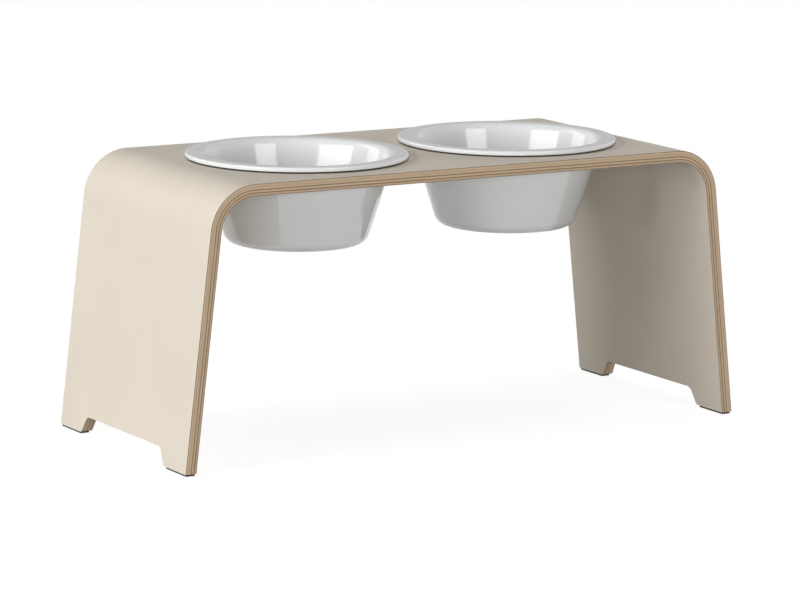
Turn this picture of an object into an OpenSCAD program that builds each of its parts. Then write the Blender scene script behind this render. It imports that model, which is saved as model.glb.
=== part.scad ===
// Raised feeding stand for a dog. A board of moulded plywood, faced with laminate on both
// sides, is bent into an arch with splayed legs. Two porcelain bowls hang by their rims in
// round holes in its top, on soft rings, and thin pads lie under its four feet.
// X runs along the stand, Y from front to back and Z up. The origin is on the floor,
// under the middle of the stand. All sizes are in millimetres and degrees.

/* [Bowls] */
// Diameter over a bowl's rim
rim_d = 208; // [190:1:230]
// Thickness of the rim at its edge
rim_t = 4.2; // [3:0.1:6]
// Reach of the rim past the neck, on its underside
rim_reach = 13; // [10:0.5:20]
// Height of a bowl, from its foot to the top of its rim
bowl_h = 85; // [66:1:110]
// Thickness of a bowl's wall and floor
wall_t = 5; // [3.5:0.25:7]
// Lean of a bowl's wall away from upright
wall_lean = 17.6; // [12:0.2:22]
// Radius of the rim's top edge
rim_edge_r = 1.9; // [1:0.1:2.4]
// Radius of the rim's bottom edge
rim_under_r = 1; // [0.4:0.1:1.4]
// Radius between the rim's top and the inside wall
lip_r = 8; // [4:0.5:12]
// Radius between the rim's underside and the outside wall
neck_r = 3; // [1:0.25:3.5]
// Radius between the outside wall and the bottom
heel_r = 12; // [6:0.5:16]
// Radius between the inside wall and the floor
floor_r = 18; // [8:0.5:24]
// Width of the ring of bottom that a bowl stands on when it is lifted out
foot_ring_w = 6; // [4:0.5:9]
// Depth of the hollow inside that ring
foot_ring_h = 1.5; // [0.8:0.1:2.5]

/* [Rim rings] */
// Thickness of the soft ring under a bowl's rim
ring_t = 1.5; // [1:0.1:3]
// Setback of the ring from the rim's edge
ring_setback = 1.4; // [0.5:0.1:4]
// Ledge of board between the hole and the ring
ring_ledge = 1.5; // [0.8:0.1:3]

/* [Board] */
// Height of the board's top above the floor
stand_height = 260; // [180:1:360]
// Board left in front of and behind each rim
side_margin = 21; // [10:0.5:45]
// Flat board left between each rim and the bend beside it
end_margin = 9; // [3:0.5:60]
// Gap between the two rims
bowl_gap = 22; // [10:0.5:80]
// Gap between a bowl's neck and its hole
neck_gap = 1.5; // [1:0.1:4]
// Outside radius of the two bends
bend_r = 45; // [30:0.5:70]
// Lean of the legs away from upright
leg_splay = 6.5; // [0.5:0.1:12]

/* [Layers] */
// Thickness of the laminate on each face
laminate_t = 0.7; // [0.5:0.05:1.2]
// Thickness of a veneer with its grain along the stand
long_ply_t = 1.7; // [1:0.05:2.2]
// Thickness of a veneer with its grain across the stand
cross_ply_t = 1; // [0.6:0.05:1.6]

/* [Feet] */
// Width of a foot at its bottom
foot_w = 43; // [30:0.5:60]
// Height of the notch between the two feet of a leg
notch_h = 16; // [10:0.5:30]
// Slant of the notch's sides away from upright
notch_slant = 30; // [10:1:40]
// Radius of the notch's upper corners
notch_r = 8; // [3:0.5:12]
// Radius of a foot's corner beside the notch
foot_corner_r = 4; // [1:0.25:6]
// Thickness of a foot pad
pad_t = 2; // [1:0.1:4]
// Setback of a pad from the foot's edges
pad_setback = 1; // [0.4:0.1:2]
// Radius of a pad's corners
pad_corner_r = 1; // [0.5:0.1:2]

/* [Hidden] */
$fn = 96;
arc_steps = 8;
overcut = 1;

LAMINATE = [0.89, 0.85, 0.79];
LONG_PLY = [0.80, 0.68, 0.53];
CROSS_PLY = [0.57, 0.45, 0.33];
PORCELAIN = [0.95, 0.95, 0.94];
BLACK_RUBBER = [0.10, 0.10, 0.10];

// The sheets of the board, from the outside in
layer_t = [
    laminate_t, long_ply_t, cross_ply_t, long_ply_t, cross_ply_t,
    long_ply_t, cross_ply_t, long_ply_t, laminate_t
];
function layer_inset(i) = i == 0 ? 0 : layer_inset(i - 1) + layer_t[i - 1];
board_t = layer_inset(len(layer_t));

// Bowls and their seats
rim_radius = rim_d / 2;
neck_radius = rim_radius - rim_reach;
hole_radius = neck_radius + neck_gap;
ring_inner_radius = hole_radius + ring_ledge;
ring_outer_radius = rim_radius - ring_setback;
bowl_x = (rim_d + bowl_gap) / 2;
seat_z = stand_height + ring_t;

// Board
stand_depth = rim_d + 2 * side_margin;
flat_half = bowl_gap / 2 + rim_d + end_margin;
bend_z = stand_height - bend_r;
bend_sweep = 90 - leg_splay;
corner_half = flat_half + bend_r * tan(bend_sweep / 2);
// Hair by which a bend's radius passes its tangents, so that faces cross cleanly
bend_relief = 0.001;

// Feet
foot_x = corner_half + (stand_height - pad_t) * tan(leg_splay);
foot_t = board_t / cos(leg_splay);
foot_inner_y = stand_depth / 2 - foot_w;
notch_half_top = foot_inner_y - notch_h * tan(notch_slant);
foot_corner_run = foot_corner_r * tan((90 - notch_slant) / 2);
board_half_span = foot_x + bend_r;

// Corner p[1] of an outline, rounded by an arc of radius r that meets both of its sides
function unit(v) = v / norm(v);
function rounded_corner(p, r) =
    let (
        back = unit(p[0] - p[1]),
        ahead = unit(p[2] - p[1]),
        half = acos(back * ahead) / 2,
        centre = p[1] + unit(back + ahead) * r / sin(half),
        first = p[1] + back * r / tan(half) - centre,
        last = p[1] + ahead * r / tan(half) - centre,
        start = atan2(first[1], first[0]),
        turn = (atan2(last[1], last[0]) - start + 540) % 360 - 180
    )
    [
        for (k = [0 : arc_steps])
            let (angle = start + turn * k / arc_steps)
            centre + r * [cos(angle), sin(angle)]
    ];

// Closed outline through corners given as [x, y, radius]
function rounded_outline(corners) = [
    for (i = [0 : len(corners) - 1])
        let (
            n = len(corners),
            near = [for (j = [-1 : 1]) [corners[(i + j + n) % n][0], corners[(i + j + n) % n][1]]],
            r = corners[i][2]
        )
        each r > 0 ? rounded_corner(near, r) : [near[1]]
];

// Solid arch under the board's outer face, or under one that lies deeper by inset
module arch(inset, length) {
    top = stand_height - inset;
    bottom = -overcut;
    corner = corner_half - inset * tan(bend_sweep / 2);
    foot = corner + (top - bottom) * tan(leg_splay);
    difference() {
        rotate([90, 0, 0])
            linear_extrude(length, center = true)
                polygon([[-foot, bottom], [-corner, top], [corner, top], [foot, bottom]]);
        for (side = [0, 1])
            mirror([side, 0, 0])
                translate([flat_half, 0, bend_z])
                    rotate([90, 0, 0])
                        bend_waste(bend_r - inset, length + 2 * overcut);
    }
}

// What the bend leaves off the sharp corner, with its axis at the origin
module bend_waste(r, length) {
    far = 2 * r;
    difference() {
        linear_extrude(length, center = true)
            polygon([[0, 0], far * [cos(leg_splay), sin(leg_splay)], [far, far], [0, far]]);
        cylinder(r = r + bend_relief, h = length + 2 * overcut, center = true);
    }
}

// One sheet of the board, between two depths below its outer face
module bent_sheet(inset, t) {
    difference() {
        arch(inset, stand_depth);
        arch(inset + t, stand_depth + 2 * overcut);
    }
}

// Holes that the bowls hang in
module bowl_holes() {
    for (x = [-bowl_x, bowl_x])
        translate([x, 0, stand_height - board_t - overcut])
            cylinder(r = hole_radius, h = board_t + 2 * overcut);
}

// What is sawn off the legs: everything below the feet, and the notch between them
module foot_cut() {
    side = stand_depth / 2 + overcut;
    top = pad_t + notch_h;
    rotate([90, 0, 90])
        linear_extrude(2 * board_half_span, center = true)
            polygon(rounded_outline([
                [-side, -2 * overcut, 0],
                [side, -2 * overcut, 0],
                [side, pad_t, 0],
                [foot_inner_y, pad_t, foot_corner_r],
                [notch_half_top, top, notch_r],
                [-notch_half_top, top, notch_r],
                [-foot_inner_y, pad_t, foot_corner_r],
                [-side, pad_t, 0]
            ]));
}

// Sheet number i of the board, counted from the outside
module board_layer(i) {
    difference() {
        bent_sheet(layer_inset(i), layer_t[i]);
        bowl_holes();
        foot_cut();
    }
}

module outer_laminate() { color(LAMINATE) board_layer(0); }
module outer_face_ply() { color(LONG_PLY) board_layer(1); }
module outer_cross_ply() { color(CROSS_PLY) board_layer(2); }
module outer_long_ply() { color(LONG_PLY) board_layer(3); }
module core_cross_ply() { color(CROSS_PLY) board_layer(4); }
module inner_long_ply() { color(LONG_PLY) board_layer(5); }
module inner_cross_ply() { color(CROSS_PLY) board_layer(6); }
module inner_face_ply() { color(LONG_PLY) board_layer(7); }
module inner_laminate() { color(LAMINATE) board_layer(8); }

// Bowl with a leaning wall, a wide flat rim and a shallow hollow under its floor
module bowl(x) {
    lean = tan(wall_lean);
    bottom = rim_t - bowl_h;
    hollow = bottom + foot_ring_h;
    inside_floor = hollow + wall_t;
    inside_at_seat = neck_radius - wall_t / cos(wall_lean);
    heel_radius = neck_radius + bottom * lean;
    stand_radius = heel_radius - heel_r * tan((90 - wall_lean) / 2);
    hollow_radius = stand_radius - foot_ring_w;
    translate([x, 0, seat_z])
        rotate_extrude()
            polygon(rounded_outline([
                [0, hollow, 0],
                [hollow_radius, hollow, 0],
                [hollow_radius + foot_ring_h, bottom, 0],
                [heel_radius, bottom, heel_r],
                [neck_radius, 0, neck_r],
                [rim_radius, 0, rim_under_r],
                [rim_radius, rim_t, rim_edge_r],
                [inside_at_seat + rim_t * lean, rim_t, lip_r],
                [inside_at_seat + inside_floor * lean, inside_floor, floor_r],
                [0, inside_floor, 0]
            ]));
}

module left_bowl() { color(PORCELAIN) bowl(-bowl_x); }
module right_bowl() { color(PORCELAIN) bowl(bowl_x); }

// Soft ring that lies between a bowl's rim and the board
module rim_ring(x) {
    translate([x, 0, stand_height])
        rotate_extrude()
            translate([ring_inner_radius, 0])
                square([ring_outer_radius - ring_inner_radius, ring_t]);
}

module left_rim_ring() { color(BLACK_RUBBER) rim_ring(-bowl_x); }
module right_rim_ring() { color(BLACK_RUBBER) rim_ring(bowl_x); }

// Pad stuck under the foot at the given end, left -1 or right 1, and side, front -1 or back 1
module foot_pad(end, side) {
    inner_x = end * (foot_x - foot_t + pad_setback);
    outer_x = end * (foot_x - pad_setback);
    inner_y = side * (foot_inner_y + foot_corner_run + pad_setback);
    outer_y = side * (stand_depth / 2 - pad_setback);
    linear_extrude(pad_t)
        polygon(rounded_outline([
            [inner_x, inner_y, pad_corner_r],
            [outer_x, inner_y, pad_corner_r],
            [outer_x, outer_y, pad_corner_r],
            [inner_x, outer_y, pad_corner_r]
        ]));
}

module front_left_pad() { color(BLACK_RUBBER) foot_pad(-1, -1); }
module back_left_pad() { color(BLACK_RUBBER) foot_pad(-1, 1); }
module front_right_pad() { color(BLACK_RUBBER) foot_pad(1, -1); }
module back_right_pad() { color(BLACK_RUBBER) foot_pad(1, 1); }

outer_laminate();
outer_face_ply();
outer_cross_ply();
outer_long_ply();
core_cross_ply();
inner_long_ply();
inner_cross_ply();
inner_face_ply();
inner_laminate();
left_bowl();
right_bowl();
left_rim_ring();
right_rim_ring();
front_left_pad();
back_left_pad();
front_right_pad();
back_right_pad();
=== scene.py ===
import math

import bpy
from mathutils import Matrix, Vector


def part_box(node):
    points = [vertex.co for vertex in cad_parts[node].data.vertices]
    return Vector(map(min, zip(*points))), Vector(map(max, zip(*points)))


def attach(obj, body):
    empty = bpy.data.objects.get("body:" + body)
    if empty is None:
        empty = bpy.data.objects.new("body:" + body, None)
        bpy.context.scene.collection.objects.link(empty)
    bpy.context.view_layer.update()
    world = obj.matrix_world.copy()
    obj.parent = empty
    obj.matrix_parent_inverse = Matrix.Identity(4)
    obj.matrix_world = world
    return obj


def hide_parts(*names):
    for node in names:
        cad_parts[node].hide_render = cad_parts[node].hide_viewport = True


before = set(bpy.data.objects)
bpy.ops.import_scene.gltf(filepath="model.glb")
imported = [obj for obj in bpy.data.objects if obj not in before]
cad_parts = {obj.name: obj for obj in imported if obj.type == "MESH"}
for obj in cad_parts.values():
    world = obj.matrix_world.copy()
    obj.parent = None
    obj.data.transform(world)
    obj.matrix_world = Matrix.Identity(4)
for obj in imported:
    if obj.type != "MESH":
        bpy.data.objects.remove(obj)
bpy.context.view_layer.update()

# The board: seven veneers and two laminates are glued, pressed hot round one mould, and sawn to shape.
# Every sheet follows the same two bends, so one tree sweeps them all, each along its own middle line,
# then bores the holes for the bowls and saws the feet level, with the notch between them.
board_low, board_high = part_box("outer_laminate")
BOARD_TOP = board_high.z
BOARD_DEPTH = board_high.y - board_low.y
FOOT_BOTTOM = board_low.z
FOOT_REACH = board_high.x
LEG_SPLAY = math.radians(6.5)
BEND_RADIUS = 0.045
BEND_STEPS = 36
HOLE_RADIUS = 0.0925
HOLE_SIDES = 192
FOOT_WIDTH = 0.043
NOTCH_HEIGHT = 0.016
NOTCH_SLANT = math.radians(30)
NOTCH_RADIUS = 0.008
FOOT_CORNER_RADIUS = 0.004
CORNER_STEPS = 10
EASED_STEPS = 3
OVERCUT = 0.001
WELD = 0.000001
CREASE_ANGLE = math.radians(25)
MIRRORED = (-1.0, 1.0, 1.0)

bend_sweep = math.pi / 2 - LEG_SPLAY
corner_reach = FOOT_REACH - (BOARD_TOP - FOOT_BOTTOM) * math.tan(LEG_SPLAY)
flat_reach = corner_reach - BEND_RADIUS * math.tan(bend_sweep / 2)
bend_centre_z = BOARD_TOP - BEND_RADIUS
bowl_low, bowl_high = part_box("right_bowl")
bowl_reach = (bowl_low.x + bowl_high.x) / 2


def feed(tree, socket, value):
    """Links a socket to another node's output, or sets its value."""
    if isinstance(value, bpy.types.NodeSocket):
        tree.links.new(value, socket)
    else:
        socket.default_value = value


def add_node(tree, kind, inputs=None, **settings):
    """Adds a node. An input is a value, another node's output, or a list of outputs."""
    node = tree.nodes.new(kind)
    for name, value in settings.items():
        setattr(node, name, value)
    for name, value in (inputs or {}).items():
        for item in (value if isinstance(value, list) else [value]):
            feed(tree, node.inputs[name], item)
    return node


def scaled(tree, vector, factors):
    """A vector with each axis multiplied by its own factor."""
    return add_node(tree, "ShaderNodeVectorMath", {0: vector, 1: factors}, operation="MULTIPLY").outputs[0]


def pick_by_index(tree, kind, values):
    """One value for each point, by the point's number along its line."""
    switch = add_node(tree, "GeometryNodeIndexSwitch", data_type=kind)
    while len(switch.index_switch_items) < len(values):
        switch.index_switch_items.new()
    feed(tree, switch.inputs["Index"], add_node(tree, "GeometryNodeInputIndex").outputs[0])
    for socket, value in zip(switch.inputs[1:], values):
        feed(tree, socket, value)
    return switch.outputs[0]


def line_through(tree, points):
    """An open line through points, as a curve."""
    line = add_node(tree, "GeometryNodeMeshLine", {"Count": len(points)})
    placed = add_node(tree, "GeometryNodeSetPosition", {
        "Geometry": line.outputs[0],
        "Position": pick_by_index(tree, "VECTOR", points),
    })
    return add_node(tree, "GeometryNodeMeshToCurve", {"Mesh": placed.outputs[0]}).outputs[0]


def sweep(tree, path, outline):
    """A closed solid of one outline along a path, with the outline's first axis across the board."""
    upright = add_node(tree, "GeometryNodeSetCurveNormal", {"Curve": path}, mode="Z_UP")
    solid = add_node(tree, "GeometryNodeCurveToMesh", {
        "Curve": upright.outputs[0],
        "Profile Curve": outline,
        "Fill Caps": True,
    })
    return add_node(tree, "GeometryNodeMergeByDistance", {
        "Geometry": solid.outputs[0],
        "Distance": WELD,
    }).outputs[0]


def foot_saw(tree):
    """What is sawn off the legs: everything below the feet, and the notch between them."""
    side = BOARD_DEPTH / 2 + OVERCUT
    saw_bottom = -2 * OVERCUT
    foot_inner = BOARD_DEPTH / 2 - FOOT_WIDTH
    notch_inner = foot_inner - NOTCH_HEIGHT * math.tan(NOTCH_SLANT)
    notch_top = FOOT_BOTTOM + NOTCH_HEIGHT
    corners = [
        (-side, saw_bottom, 0.0),
        (side, saw_bottom, 0.0),
        (side, FOOT_BOTTOM, 0.0),
        (foot_inner, FOOT_BOTTOM, FOOT_CORNER_RADIUS),
        (notch_inner, notch_top, NOTCH_RADIUS),
        (-notch_inner, notch_top, NOTCH_RADIUS),
        (-foot_inner, FOOT_BOTTOM, FOOT_CORNER_RADIUS),
        (-side, FOOT_BOTTOM, 0.0),
    ]
    outline = add_node(tree, "GeometryNodeSetSplineCyclic", {
        "Geometry": line_through(tree, [(-y, -z, 0.0) for y, z, _ in corners]),
        "Cyclic": True,
    })
    rounded = add_node(tree, "GeometryNodeFilletCurve", {
        "Curve": outline.outputs[0],
        "Count": CORNER_STEPS,
        "Radius": pick_by_index(tree, "FLOAT", [radius for _, _, radius in corners]),
    }, mode="POLY")
    span = FOOT_REACH + BEND_RADIUS
    path = add_node(tree, "GeometryNodeCurvePrimitiveLine", {
        "Start": (-span, 0.0, 0.0),
        "End": (span, 0.0, 0.0),
    })
    return sweep(tree, path.outputs[0], rounded.outputs[0])


SHEET_INPUTS = {
    "Foot": "NodeSocketVector",
    "Corner": "NodeSocketVector",
    "Bend Radius": "NodeSocketFloat",
    "Thickness": "NodeSocketFloat",
    "Depth": "NodeSocketFloat",
    "Outer Easing": "NodeSocketFloat",
    "Inner Easing": "NodeSocketFloat",
    "Bowl Reach": "NodeSocketFloat",
    "Hole Radius": "NodeSocketFloat",
    "Finish": "NodeSocketMaterial",
}
sheet_tree = bpy.data.node_groups.new("pressed_sheet", "GeometryNodeTree")
sheet_sockets = {
    name: sheet_tree.interface.new_socket(name, in_out="INPUT", socket_type=kind).identifier
    for name, kind in SHEET_INPUTS.items()
}
sheet_tree.interface.new_socket("Sheet", in_out="OUTPUT", socket_type="NodeSocketGeometry")
size = add_node(sheet_tree, "NodeGroupInput").outputs
middle_line = line_through(sheet_tree, [
    scaled(sheet_tree, size["Foot"], MIRRORED),
    scaled(sheet_tree, size["Corner"], MIRRORED),
    size["Corner"],
    size["Foot"],
])
bent_line = add_node(sheet_tree, "GeometryNodeFilletCurve", {
    "Curve": middle_line,
    "Count": BEND_STEPS,
    "Radius": size["Bend Radius"],
}, mode="POLY")
strip = add_node(sheet_tree, "GeometryNodeCurvePrimitiveQuadrilateral", {
    "Width": size["Depth"],
    "Height": size["Thickness"],
})
eased_strip = add_node(sheet_tree, "GeometryNodeFilletCurve", {
    "Curve": strip.outputs[0],
    "Count": EASED_STEPS,
    "Radius": pick_by_index(sheet_tree, "FLOAT", [
        size["Inner Easing"],
        size["Inner Easing"],
        size["Outer Easing"],
        size["Outer Easing"],
    ]),
}, mode="POLY")
pressed = sweep(sheet_tree, bent_line.outputs[0], eased_strip.outputs[0])
hole = add_node(sheet_tree, "GeometryNodeMeshCylinder", {
    "Vertices": HOLE_SIDES,
    "Radius": size["Hole Radius"],
    "Depth": BEND_RADIUS,
})
right_hole = add_node(sheet_tree, "ShaderNodeCombineXYZ", {
    "X": size["Bowl Reach"],
    "Z": BOARD_TOP,
}).outputs[0]
holes = []
for hole_place in (scaled(sheet_tree, right_hole, MIRRORED), right_hole):
    moved = add_node(sheet_tree, "GeometryNodeTransform", {
        "Geometry": hole.outputs["Mesh"],
        "Translation": hole_place,
    })
    holes.append(moved.outputs[0])
sawn = add_node(sheet_tree, "GeometryNodeMeshBoolean", {
    "Mesh 1": pressed,
    "Mesh 2": [*holes, foot_saw(sheet_tree)],
}, operation="DIFFERENCE", solver="MANIFOLD")
whole = add_node(sheet_tree, "GeometryNodeRealizeInstances", {"Geometry": sawn.outputs["Mesh"]})
finished = add_node(sheet_tree, "GeometryNodeSetMaterial", {
    "Geometry": whole.outputs[0],
    "Material": size["Finish"],
})
add_node(sheet_tree, "NodeGroupOutput", {"Sheet": finished.outputs[0]})


def place_in_board(point):
    """How far a point lies along the board from its middle, across it, and below its outer face."""
    right = abs(point.x) - flat_reach
    up = point.z - bend_centre_z
    turn = math.atan2(right, up)
    if right <= 0:
        along = right
        depth = BOARD_TOP - point.z
    elif 0 < turn < bend_sweep and up > 0:
        along = BEND_RADIUS * turn
        depth = BEND_RADIUS - math.hypot(right, up)
    else:
        along = BEND_RADIUS * bend_sweep + right * math.sin(LEG_SPLAY) - up * math.cos(LEG_SPLAY)
        depth = BEND_RADIUS - right * math.cos(LEG_SPLAY) - up * math.sin(LEG_SPLAY)
    return math.copysign(flat_reach + along, point.x), point.y, depth


def store_on_points(mesh, name, kind, field, numbers):
    """Keeps numbers with a mesh's points, where a finish can read them."""
    mesh.attributes.new(name, kind, "POINT").data.foreach_set(field, numbers)


def crease(mesh):
    """Shades a mesh smoothly, apart from its sharp edges."""
    mesh.shade_smooth()
    mesh.set_sharp_from_angle(angle=CREASE_ANGLE)


def press_sheet(node, thickness, finish, tone=1.0, outer_easing=0.0, inner_easing=0.0):
    """One sheet of the board as a finished piece that stands for its CAD node."""
    inset = BOARD_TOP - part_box(node)[1].z
    middle = inset + thickness / 2
    corner = Vector((corner_reach - middle * math.tan(bend_sweep / 2), 0, BOARD_TOP - middle))
    foot = corner + (corner.z + OVERCUT) * Vector((math.tan(LEG_SPLAY), 0, -1))
    name = node + "_sheet"
    sheet = bpy.data.objects.new(name, bpy.data.meshes.new(name))
    bpy.context.scene.collection.objects.link(sheet)
    press = sheet.modifiers.new("press", "NODES")
    press.node_group = sheet_tree
    sizes = {
        "Foot": foot,
        "Corner": corner,
        "Bend Radius": BEND_RADIUS - middle,
        "Thickness": thickness,
        "Depth": BOARD_DEPTH,
        "Outer Easing": outer_easing,
        "Inner Easing": inner_easing,
        "Bowl Reach": bowl_reach,
        "Hole Radius": HOLE_RADIUS,
        "Finish": finish,
    }
    for size_name, value in sizes.items():
        press[sheet_sockets[size_name]] = value
    evaluated = sheet.evaluated_get(bpy.context.evaluated_depsgraph_get())
    mesh = bpy.data.meshes.new_from_object(evaluated)
    sheet.modifiers.remove(press)
    sheet.data = mesh
    places = [place_in_board(vertex.co) for vertex in mesh.vertices]
    place_numbers = [number for place in places for number in place]
    store_on_points(mesh, "place", "FLOAT_VECTOR", "vector", place_numbers)
    store_on_points(mesh, "into_sheet", "FLOAT", "value", [depth - inset for _, _, depth in places])
    store_on_points(mesh, "tone", "FLOAT", "value", [tone] * len(places))
    crease(mesh)
    sheet.modifiers.new("flat_faces_stay_flat", "WEIGHTED_NORMAL").keep_sharp = True
    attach(sheet, "stand")
    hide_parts(node)


# The laminates: cream high-pressure laminate with a fine matt face and a dark core, glued on both sides.
# The cut edge shows the core as a thin dark line, and the edge of the face is eased by hand sanding.
LAMINATE_THICKNESS = 0.0007
LAMINATE_FACE = 0.0001
LAMINATE_EASING = 0.00035
CORE_BLUR = 0.00006
CREAM = (0.745, 0.680, 0.584, 1)
CREAM_DEEP = (0.715, 0.646, 0.548, 1)
LAMINATE_CORE = (0.290, 0.185, 0.120, 1)
CLOUD_SCALE = (11.0, 15.0, 11.0)
CLOUD_DETAIL = 3.0
GRAIN_SCALE = (2600.0, 2600.0, 2600.0)
LAMINATE_ROUGHNESS = (0.44, 0.54)
LAMINATE_SPECULAR = 0.06
LAMINATE_RELIEF = 0.12
LAMINATE_RELIEF_HEIGHT = 0.00005
NOISE_RANGE = (0.3, 0.7)
# A Mix node's colour sockets share their names with its other sockets, so they go by number.
MIX_SHARE = 0
MIX_FIRST = 6
MIX_SECOND = 7
MIX_RESULT = 2


def new_finish(name):
    """A material with a plain Principled surface, as (material, tree, surface)."""
    material = bpy.data.materials.new(name)
    material.use_nodes = True
    tree = material.node_tree
    return material, tree, tree.nodes["Principled BSDF"]


def attribute(tree, name, output):
    """What a mesh keeps with its points under a name."""
    return add_node(tree, "ShaderNodeAttribute", attribute_name=name).outputs[output]


def noise(tree, coordinates, scale, detail=2.0, roughness=0.5):
    """Soft noise from 0 to 1, with a scale for each axis in features a metre."""
    return add_node(tree, "ShaderNodeTexNoise", {
        "Vector": scaled(tree, coordinates, scale),
        "Scale": 1.0,
        "Detail": detail,
        "Roughness": roughness,
    }).outputs["Fac"]


def spread(tree, value, source, target=(0.0, 1.0)):
    """A value's range, moved to another range and held inside it."""
    return add_node(tree, "ShaderNodeMapRange", {
        "Value": value,
        "From Min": source[0],
        "From Max": source[1],
        "To Min": target[0],
        "To Max": target[1],
    }).outputs[0]


def blend(tree, share, first, second, mode="MIX"):
    """Two colours mixed by a share."""
    return add_node(tree, "ShaderNodeMix", {
        MIX_SHARE: share,
        MIX_FIRST: first,
        MIX_SECOND: second,
    }, data_type="RGBA", blend_type=mode).outputs[MIX_RESULT]


def relief(tree, surface, texture, strength, height):
    """Raises a surface by a texture."""
    bump = add_node(tree, "ShaderNodeBump", {"Height": texture, "Strength": strength, "Distance": height})
    feed(tree, surface.inputs["Normal"], bump.outputs[0])


def laminate_finish(name, face_end, core_start):
    """A cream face that ends at one depth in the sheet, and the dark core that starts at another."""
    material, tree, surface = new_finish(name)
    place = attribute(tree, "place", "Vector")
    cloud = spread(tree, noise(tree, place, CLOUD_SCALE, CLOUD_DETAIL), NOISE_RANGE)
    face = blend(tree, cloud, CREAM, CREAM_DEEP)
    core = spread(tree, attribute(tree, "into_sheet", "Fac"), (face_end, core_start))
    feed(tree, surface.inputs["Base Color"], blend(tree, core, face, LAMINATE_CORE))
    grain = noise(tree, place, GRAIN_SCALE)
    feed(tree, surface.inputs["Roughness"], spread(tree, grain, NOISE_RANGE, LAMINATE_ROUGHNESS))
    feed(tree, surface.inputs["Specular IOR Level"], LAMINATE_SPECULAR)
    relief(tree, surface, grain, LAMINATE_RELIEF, LAMINATE_RELIEF_HEIGHT)
    return material


outer_face_finish = laminate_finish("cream_laminate_outer", LAMINATE_FACE, LAMINATE_FACE + CORE_BLUR)
press_sheet(
    "outer_laminate", LAMINATE_THICKNESS, outer_face_finish, outer_easing=LAMINATE_EASING
)
inner_face = LAMINATE_THICKNESS - LAMINATE_FACE
inner_face_finish = laminate_finish("cream_laminate_inner", inner_face, inner_face - CORE_BLUR)
press_sheet(
    "inner_laminate", LAMINATE_THICKNESS, inner_face_finish, inner_easing=LAMINATE_EASING
)

# The long veneers: peeled birch, with the grain along the stand, bare and sanded at the cut edge.
# There they show pale streaks along the board, and a thin dark glue line at each face.
LONG_PLY_THICKNESS = 0.0017
BIRCH_PALE = (0.694, 0.535, 0.373, 1)
BIRCH_TAN = (0.562, 0.413, 0.271, 1)
GLUE = (0.424, 0.292, 0.182, 1)
GLUE_WIDTH = 0.00012
GLUE_SHARE = 0.8
STREAK_SCALE = (22.0, 700.0, 2300.0)
STREAK_DETAIL = 4.0
STREAK_ROUGHNESS = 0.6
FLECK_SCALE = (160.0, 2400.0, 6000.0)
FLECK_RANGE = (0.55, 0.75)
FLECK_SHARE = 0.45
VENEER_ROUGHNESS = (0.55, 0.72)
VENEER_RELIEF = 0.25
VENEER_RELIEF_HEIGHT = 0.00008
LONG_PLY_TONES = {
    "outer_face_ply": 1.0,
    "outer_long_ply": 0.97,
    "inner_long_ply": 0.96,
    "inner_face_ply": 0.86,
}


def calculate(tree, operation, *numbers):
    """The result of one operation on numbers."""
    return add_node(tree, "ShaderNodeMath", dict(enumerate(numbers)), operation=operation).outputs[0]


def veneer_finish(name, thickness, pale, dark, streak_scale, fleck_scale):
    """Bare sanded veneer with its streaks, its pores and the glue lines at its faces."""
    material, tree, surface = new_finish(name)
    place = attribute(tree, "place", "Vector")
    streaks = noise(tree, place, streak_scale, STREAK_DETAIL, STREAK_ROUGHNESS)
    wood = blend(tree, spread(tree, streaks, NOISE_RANGE), pale, dark)
    flecks = noise(tree, place, fleck_scale)
    pored = blend(tree, spread(tree, flecks, FLECK_RANGE, (0.0, FLECK_SHARE)), wood, dark)
    from_middle = calculate(tree, "SUBTRACT", attribute(tree, "into_sheet", "Fac"), thickness / 2)
    glue_line = (thickness / 2 - GLUE_WIDTH, thickness / 2)
    glue = spread(tree, calculate(tree, "ABSOLUTE", from_middle), glue_line, (0.0, GLUE_SHARE))
    edge = blend(tree, glue, pored, GLUE)
    toned = blend(tree, 1.0, edge, attribute(tree, "tone", "Fac"), "MULTIPLY")
    feed(tree, surface.inputs["Base Color"], toned)
    feed(tree, surface.inputs["Roughness"], spread(tree, flecks, NOISE_RANGE, VENEER_ROUGHNESS))
    relief(tree, surface, flecks, VENEER_RELIEF, VENEER_RELIEF_HEIGHT)
    return material


long_finish = veneer_finish(
    "birch_along", LONG_PLY_THICKNESS, BIRCH_PALE, BIRCH_TAN, STREAK_SCALE, FLECK_SCALE
)
for ply, ply_tone in LONG_PLY_TONES.items():
    press_sheet(ply, LONG_PLY_THICKNESS, long_finish, ply_tone)

# The cross veneers: thinner birch with the grain across the stand, between the long ones.
# The front and back edges cut across their fibres, so they show as darker, pored lines of end grain.
CROSS_PLY_THICKNESS = 0.001
END_GRAIN_SCALE = (420.0, 22.0, 2300.0)
PORE_SCALE = (4200.0, 160.0, 5200.0)
END_GRAIN_COLOURS = {
    "outer_cross_ply": ((0.620, 0.466, 0.320, 1), (0.498, 0.366, 0.242, 1)),
    "core_cross_ply": ((0.355, 0.231, 0.136, 1), (0.212, 0.131, 0.072, 1)),
    "inner_cross_ply": ((0.337, 0.217, 0.127, 1), (0.201, 0.123, 0.068, 1)),
}
for ply, (end_pale, end_dark) in END_GRAIN_COLOURS.items():
    end_finish = veneer_finish(
        ply + "_end_grain", CROSS_PLY_THICKNESS, end_pale, end_dark, END_GRAIN_SCALE, PORE_SCALE
    )
    press_sheet(ply, CROSS_PLY_THICKNESS, end_finish)

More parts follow.
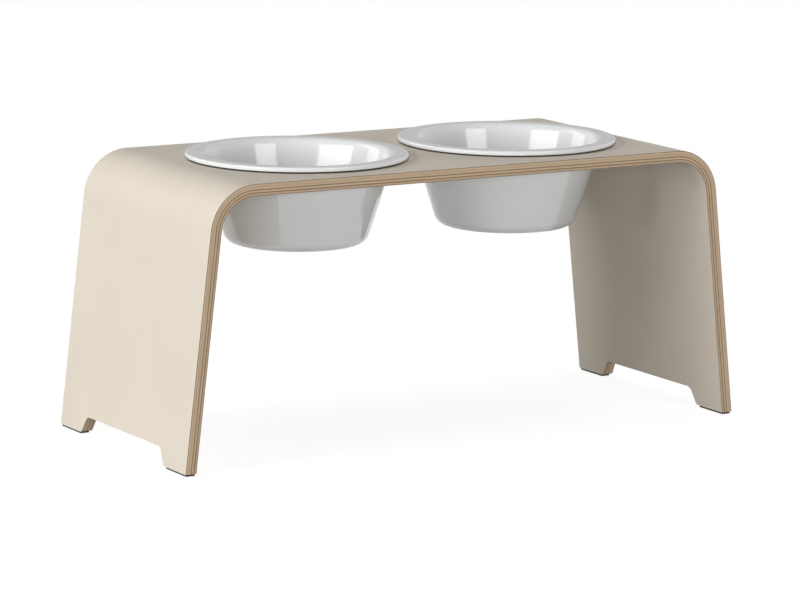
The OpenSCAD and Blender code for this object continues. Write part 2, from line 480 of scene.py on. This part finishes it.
# The foot pads: thin black foam rubber, die-cut with rounded corners and stuck under the four feet.
# A pad stops just short of the foot's edges, and its lower edge is a little worn round.
PAD_CORNER_RADIUS = 0.001
PAD_EDGE_RADIUS = 0.0004
PAD_ARC_STEPS = 6
RUBBER_BLACK = (0.020, 0.020, 0.021, 1)
RUBBER_GREY = (0.045, 0.045, 0.046, 1)
RUBBER_GRAIN_SCALE = (1500.0, 1500.0, 1500.0)
RUBBER_GRAIN_DETAIL = 3.0
RUBBER_GREY_RANGE = (0.35, 0.7)
RUBBER_ROUGHNESS = (0.6, 0.8)
RUBBER_RELIEF = 0.3
RUBBER_RELIEF_HEIGHT = 0.0001


def arc(centre, radius, start, end, steps):
    """Points on an arc, angles in radians."""
    turns = [start + (end - start) * step / steps for step in range(steps + 1)]
    return [(centre[0] + radius * math.cos(turn), centre[1] + radius * math.sin(turn)) for turn in turns]


def rubber_finish(name):
    """Matt black rubber with a fine closed-cell grain."""
    material, tree, surface = new_finish(name)
    place = add_node(tree, "ShaderNodeTexCoord").outputs["Object"]
    grain = noise(tree, place, RUBBER_GRAIN_SCALE, RUBBER_GRAIN_DETAIL)
    colour = blend(tree, spread(tree, grain, RUBBER_GREY_RANGE), RUBBER_BLACK, RUBBER_GREY)
    feed(tree, surface.inputs["Base Color"], colour)
    feed(tree, surface.inputs["Roughness"], spread(tree, grain, NOISE_RANGE, RUBBER_ROUGHNESS))
    relief(tree, surface, grain, RUBBER_RELIEF, RUBBER_RELIEF_HEIGHT)
    return material


def new_piece(name, points, faces, material):
    """A mesh piece at the origin, with its place in its points."""
    mesh = bpy.data.meshes.new(name)
    mesh.from_pydata(points, [], faces)
    mesh.update()
    mesh.materials.append(material)
    piece = bpy.data.objects.new(name, mesh)
    bpy.context.scene.collection.objects.link(piece)
    return piece


def cut_pad(name, low, high, material):
    """A pad that fills a box, with rounded corners and a rounded lower edge."""
    levels = []
    for step in range(PAD_ARC_STEPS + 1):
        rise = math.pi / 2 * step / PAD_ARC_STEPS
        levels.append((PAD_EDGE_RADIUS * (1 - math.sin(rise)), PAD_EDGE_RADIUS * (1 - math.cos(rise))))
    levels.append((0.0, high.z - low.z))
    corners = (
        (high.x - PAD_CORNER_RADIUS, high.y - PAD_CORNER_RADIUS),
        (low.x + PAD_CORNER_RADIUS, high.y - PAD_CORNER_RADIUS),
        (low.x + PAD_CORNER_RADIUS, low.y + PAD_CORNER_RADIUS),
        (high.x - PAD_CORNER_RADIUS, low.y + PAD_CORNER_RADIUS),
    )
    points = []
    for inset, height in levels:
        for quarter, corner in enumerate(corners):
            start = quarter * math.pi / 2
            bend = arc(corner, PAD_CORNER_RADIUS - inset, start, start + math.pi / 2, PAD_ARC_STEPS)
            points += [(x, y, low.z + height) for x, y in bend]
    count = len(points) // len(levels)
    top = len(points) - count
    faces = [tuple(reversed(range(count)))]
    for level in range(0, top, count):
        for step in range(count):
            ahead = (step + 1) % count
            faces.append((level + step, level + ahead, level + count + ahead, level + count + step))
    faces.append(tuple(range(top, len(points))))
    return new_piece(name, points, faces, material)


pad_finish = rubber_finish("pad_rubber_black")
for corner_name in ("front_left", "back_left", "front_right", "back_right"):
    pad_node = corner_name + "_pad"
    pad = cut_pad(pad_node + "_cut", *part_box(pad_node), pad_finish)
    crease(pad.data)
    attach(pad, "stand")
    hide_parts(pad_node)

# The rim rings: soft black rubber rings that lie between the board and each bowl's rim.
# They stay on the bowls when these are lifted, and show as a dark line under each rim.
RING_WIDTH = 0.0086
RING_EDGE_RADIUS = 0.0005
RING_ARC_STEPS = 6
TURNED_SIDES = 192


def rounded_outline(corners, steps):
    """A closed outline through corners given as (x, y, radius)."""
    outline = []
    for number, (x, y, radius) in enumerate(corners):
        corner = Vector((x, y))
        if not radius:
            outline.append(corner)
            continue
        back = (Vector(corners[number - 1][:2]) - corner).normalized()
        ahead = (Vector(corners[(number + 1) % len(corners)][:2]) - corner).normalized()
        half = back.angle(ahead) / 2
        centre = corner + (back + ahead).normalized() * (radius / math.sin(half))
        first = corner + back * (radius / math.tan(half)) - centre
        last = corner + ahead * (radius / math.tan(half)) - centre
        start = math.atan2(first.y, first.x)
        turn = (math.atan2(last.y, last.x) - start + math.pi) % (2 * math.pi) - math.pi
        outline += [Vector(point) for point in arc(centre, radius, start, start + turn, steps)]
    return outline


def turned(name, outline, axis_x, base_z, material):
    """A closed outline of (radius, height) turned about an upright axis."""
    points = []
    rings = []
    for radius, height in outline:
        sides = TURNED_SIDES if radius > WELD else 1
        rings.append([len(points) + side % sides for side in range(TURNED_SIDES)])
        for side in range(sides):
            turn = 2 * math.pi * side / TURNED_SIDES
            points.append((
                axis_x + radius * math.cos(turn),
                radius * math.sin(turn),
                base_z + height,
            ))
    faces = []
    for ring, after in zip(rings, rings[1:] + rings[:1]):
        for side in range(TURNED_SIDES):
            ahead = (side + 1) % TURNED_SIDES
            corners = dict.fromkeys((ring[side], ring[ahead], after[ahead], after[side]))
            if len(corners) > 2:
                faces.append(tuple(corners))
    return new_piece(name, points, faces, material)


ring_finish = rubber_finish("ring_rubber_black")
for side_name in ("left", "right"):
    ring_node = side_name + "_rim_ring"
    ring_low, ring_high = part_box(ring_node)
    ring_x = (ring_low.x + ring_high.x) / 2
    ring_outer = (ring_high.x - ring_low.x) / 2
    ring_inner = ring_outer - RING_WIDTH
    ring_height = ring_high.z - ring_low.z
    ring_outline = rounded_outline([
        (ring_inner, 0.0, RING_EDGE_RADIUS),
        (ring_outer, 0.0, RING_EDGE_RADIUS),
        (ring_outer, ring_height, RING_EDGE_RADIUS),
        (ring_inner, ring_height, RING_EDGE_RADIUS),
    ], RING_ARC_STEPS)
    ring = turned(ring_node + "_moulded", ring_outline, ring_x, ring_low.z, ring_finish)
    crease(ring.data)
    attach(ring, side_name + "_bowl")
    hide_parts(ring_node)

# The bowls: white porcelain, slip-cast with a wide flat rim and a leaning wall, glazed all over.
# The ring that a bowl stands on in the kiln is wiped bare of glaze, round a shallow hollow.
# The darker bare band reaches a little up the heel, past the foot, as painted shade along its bottom.
RIM_THICKNESS = 0.0042
RIM_REACH = 0.013
RIM_EDGE_RADIUS = 0.0019
RIM_UNDER_RADIUS = 0.001
LIP_RADIUS = 0.008
NECK_RADIUS = 0.003
WALL_THICKNESS = 0.005
WALL_ANGLE = math.radians(17.6)
HEEL_RADIUS = 0.012
FLOOR_RADIUS = 0.018
STAND_RING_WIDTH = 0.006
STAND_RING_HEIGHT = 0.0015
BOWL_ARC_STEPS = 20
GLAZE_WHITE = (0.785, 0.789, 0.785, 1)
GLAZE_COOL = (0.760, 0.768, 0.767, 1)
GLAZE_CLOUD_SCALE = (18.0, 18.0, 18.0)
GLAZE_IOR = 1.82
GLAZE_ROUGHNESS = 0.06
GLAZE_WAVE_SCALE = (34.0, 34.0, 34.0)
GLAZE_WAVE_DETAIL = 1.0
GLAZE_RELIEF = 0.02
GLAZE_RELIEF_HEIGHT = 0.001
# The bare colour and height also paint shade along the bottom of the heel, above the real bare foot.
BARE_PORCELAIN_AND_SHADE = (0.700, 0.670, 0.615, 1)
BARE_ROUGHNESS = 0.6
BARE_AND_SHADE_HEIGHT = 0.0018


def bowl_outline(rim_radius, height):
    """Half of a bowl's section, from the middle of its underside to the middle of its floor."""
    wall_lean = math.tan(WALL_ANGLE)
    under = RIM_THICKNESS - height
    hollow = under + STAND_RING_HEIGHT
    floor_top = hollow + WALL_THICKNESS
    neck = rim_radius - RIM_REACH
    inside = neck - WALL_THICKNESS / math.cos(WALL_ANGLE)
    heel = neck + under * wall_lean
    stand_outer = heel - HEEL_RADIUS * math.tan((math.pi / 2 - WALL_ANGLE) / 2)
    stand_inner = stand_outer - STAND_RING_WIDTH
    return rounded_outline([
        (0.0, hollow, 0),
        (stand_inner, hollow, 0),
        (stand_inner + STAND_RING_HEIGHT, under, 0),
        (heel, under, HEEL_RADIUS),
        (neck, 0.0, NECK_RADIUS),
        (rim_radius, 0.0, RIM_UNDER_RADIUS),
        (rim_radius, RIM_THICKNESS, RIM_EDGE_RADIUS),
        (inside + RIM_THICKNESS * wall_lean, RIM_THICKNESS, LIP_RADIUS),
        (inside + floor_top * wall_lean, floor_top, FLOOR_RADIUS),
        (0.0, floor_top, 0),
    ], BOWL_ARC_STEPS)


def glazed_finish(name, stand_z):
    """White glaze, bare close to the height that the bowl stands on, with painted shade along the bottom
    of the heel.
    """
    material, tree, surface = new_finish(name)
    place = add_node(tree, "ShaderNodeTexCoord").outputs["Object"]
    height = add_node(tree, "ShaderNodeSeparateXYZ", {"Vector": place}).outputs["Z"]
    # Darker and rough close to the bottom: the bare foot, and painted shade along the bottom of the heel.
    bare_and_shade = spread(tree, height, (stand_z + BARE_AND_SHADE_HEIGHT, stand_z))
    glaze = blend(tree, noise(tree, place, GLAZE_CLOUD_SCALE), GLAZE_WHITE, GLAZE_COOL)
    feed(tree, surface.inputs["Base Color"], blend(tree, bare_and_shade, glaze, BARE_PORCELAIN_AND_SHADE))
    roughness = spread(tree, bare_and_shade, (0.0, 1.0), (GLAZE_ROUGHNESS, BARE_ROUGHNESS))
    feed(tree, surface.inputs["Roughness"], roughness)
    feed(tree, surface.inputs["IOR"], GLAZE_IOR)
    waves = noise(tree, place, GLAZE_WAVE_SCALE, GLAZE_WAVE_DETAIL)
    relief(tree, surface, waves, GLAZE_RELIEF, GLAZE_RELIEF_HEIGHT)
    return material


porcelain = glazed_finish("white_glazed_porcelain", bowl_low.z)
for side_name in ("left", "right"):
    bowl_node = side_name + "_bowl"
    rim_low, rim_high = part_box(bowl_node)
    half_section = bowl_outline((rim_high.x - rim_low.x) / 2, rim_high.z - rim_low.z)
    bowl_x = (rim_low.x + rim_high.x) / 2
    bowl = turned(bowl_node + "_glazed", half_section, bowl_x, rim_high.z - RIM_THICKNESS, porcelain)
    crease(bowl.data)
    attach(bowl, bowl_node)
    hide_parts(bowl_node)

# The studio: a white floor that fades into a white room, seen white by the camera and in the glaze.
# The main light is a softbox on the left with a strip below it. Lamps overhead and all round fill in.
# Cards, which only reflections show, draw the bands in the bowls and dim what the flat rims mirror.
WHITE = (1, 1, 1, 1)
FLOOR_SIZE = 18.0
FLOOR_DROP = 0.0001
FLOOR_GREY = (0.28, 0.28, 0.28, 1)
FLOOR_LIGHT = 0.47
SHADOW_SHARE = 0.14
SHADOW_FADE = (0.5, 1.3)
ROOM_LIGHT = 0.05
LIGHT_DISTANCE = 5.0
LIGHT_TARGET = Vector((0.0, 0.0, 0.2))
# For each lamp and card: heading, elevation, and the width and height that it fills, all in degrees.
# The last number is its brightness, which doesn't change with its size.
LAMPS = {
    "left_softbox": (180, 23, 36, 14, 9.3),
    "left_strip": (186, 5, 24, 10, 13.5),
    "low_softbox": (260, 7, 80, 14, 4.8),
    "overhead": (0, 89, 50, 50, 0.85),
    "right_fill": (10, 5, 70, 10, 8.0),
    "back_fill": (72, 7, 60, 14, 5.0),
}
BRIGHT_CARDS = {
    "left_card": (186, 23, 46, 14, 3.3),
    "front_card": (283, 25, 26, 20, 2.65),
    "back_card": (123, 25, 24, 40, 1.5),
}
GREY_CARD = (59, 9, 46, 26, 0.6)


def seen_directly(tree):
    """1 for what the camera sees, directly, in a reflection or through glass, else 0."""
    path = add_node(tree, "ShaderNodeLightPath").outputs
    mirrored = calculate(tree, "MAXIMUM", path["Is Camera Ray"], path["Is Glossy Ray"])
    return calculate(tree, "MAXIMUM", mirrored, path["Is Transmission Ray"])


def show_shader(tree, shader):
    """Gives a finish another shader in place of its Principled surface."""
    tree.nodes.remove(tree.nodes["Principled BSDF"])
    feed(tree, tree.nodes["Material Output"].inputs["Surface"], shader.outputs[0])


def floor_finish(name):
    """Grey paint as the stand sees it. To the camera it is white, and dims only where the shadow falls."""
    material, tree, _ = new_finish(name)
    place = add_node(tree, "ShaderNodeTexCoord").outputs["Object"]
    distance = add_node(tree, "ShaderNodeVectorMath", {0: place}, operation="LENGTH").outputs["Value"]
    share = spread(tree, distance, SHADOW_FADE, (SHADOW_SHARE, 0.0))
    shaded = add_node(tree, "ShaderNodeBsdfDiffuse", {
        "Color": calculate(tree, "DIVIDE", share, FLOOR_LIGHT),
    })
    plain = add_node(tree, "ShaderNodeEmission", {
        "Color": WHITE,
        "Strength": calculate(tree, "SUBTRACT", 1.0, share),
    })
    seen = add_node(tree, "ShaderNodeAddShader", {0: plain.outputs[0], 1: shaded.outputs[0]})
    painted = add_node(tree, "ShaderNodeBsdfDiffuse", {"Color": FLOOR_GREY})
    show_shader(tree, add_node(tree, "ShaderNodeMixShader", {
        0: seen_directly(tree),
        1: painted.outputs[0],
        2: seen.outputs[0],
    }))
    return material


def card_finish(name, brightness):
    """A card that is equally bright all over."""
    material, tree, _ = new_finish(name)
    show_shader(tree, add_node(tree, "ShaderNodeEmission", {"Color": WHITE, "Strength": brightness}))
    return material


def flat_rectangle(name, place, width, height, material):
    """A flat rectangle round the middle of a place."""
    corners = ((-1, -1), (1, -1), (1, 1), (-1, 1))
    points = [place @ Vector((x * width / 2, y * height / 2, 0)) for x, y in corners]
    return new_piece(name, points, [(0, 1, 2, 3)], material)


def stand_off(heading, elevation, wide, tall):
    """The place, width and height of a lamp or card that fills an angle as seen from the stand."""
    across = math.radians(heading)
    up = math.radians(elevation)
    towards = Vector((math.cos(across) * math.cos(up), math.sin(across) * math.cos(up), math.sin(up)))
    turn = towards.to_track_quat("Z", "Y")
    place = Matrix.LocRotScale(LIGHT_TARGET + towards * LIGHT_DISTANCE, turn, None)
    width, height = (2 * LIGHT_DISTANCE * math.tan(math.radians(angle) / 2) for angle in (wide, tall))
    return place, width, height


floor_place = Matrix.Translation((0, 0, -FLOOR_DROP))
floor = flat_rectangle("floor", floor_place, FLOOR_SIZE, FLOOR_SIZE, floor_finish("studio_floor"))

room = bpy.data.worlds.new("white_room")
bpy.context.scene.world = room
room.use_nodes = True
background = room.node_tree.nodes["Background"]
room_light = spread(room.node_tree, seen_directly(room.node_tree), (0.0, 1.0), (ROOM_LIGHT, 1.0))
feed(room.node_tree, background.inputs["Color"], WHITE)
feed(room.node_tree, background.inputs["Strength"], room_light)

for lamp_name, (*lamp_angles, lamp_brightness) in {**LAMPS, **BRIGHT_CARDS}.items():
    lamp = bpy.data.lights.new(lamp_name, "AREA")
    lamp.shape = "RECTANGLE"
    lamp_place, lamp.size, lamp.size_y = stand_off(*lamp_angles)
    lamp.energy = lamp_brightness * math.pi * lamp.size * lamp.size_y
    softbox = bpy.data.objects.new(lamp_name, lamp)
    bpy.context.scene.collection.objects.link(softbox)
    softbox.matrix_world = lamp_place
    softbox.visible_camera = False
    softbox.visible_diffuse = lamp_name in LAMPS
    softbox.visible_glossy = lamp_name in BRIGHT_CARDS

*card_angles, card_brightness = GREY_CARD
card = flat_rectangle("grey_card", *stand_off(*card_angles), card_finish("grey_card", card_brightness))
card.visible_camera = False
card.visible_diffuse = False
card.visible_shadow = False

# The camera: a long lens from the front left, a little above the stand, as in the photograph.
# Its place is a direction and a distance from the middle of the stand.
IMAGE_WIDTH = 800
SENSOR_WIDTH = 36.0
FOCAL_PIXELS = 4230.4
CAMERA_AZIMUTH = math.radians(-30.982)
CAMERA_ELEVATION = math.radians(10.278)
CAMERA_DISTANCE = 4.0093
CAMERA_TARGET = Vector((-0.00082, 0.00103, 0.11995))
CAMERA_ROLL = math.radians(0.672)

lens = bpy.data.cameras.new("camera")
lens.sensor_fit = "HORIZONTAL"
lens.sensor_width = SENSOR_WIDTH
lens.lens = FOCAL_PIXELS * SENSOR_WIDTH / IMAGE_WIDTH
camera = bpy.data.objects.new("camera", lens)
bpy.context.scene.collection.objects.link(camera)
camera_back = Vector((
    math.sin(CAMERA_AZIMUTH) * math.cos(CAMERA_ELEVATION),
    -math.cos(CAMERA_AZIMUTH) * math.cos(CAMERA_ELEVATION),
    math.sin(CAMERA_ELEVATION),
))
camera_turn = camera_back.to_track_quat("Z", "Y").to_matrix() @ Matrix.Rotation(CAMERA_ROLL, 3, "Z")
camera.matrix_world = Matrix.LocRotScale(
    CAMERA_TARGET + camera_back * CAMERA_DISTANCE, camera_turn.to_quaternion(), None
)
bpy.context.scene.camera = camera
bpy.context.scene.view_settings.view_transform = "Standard"
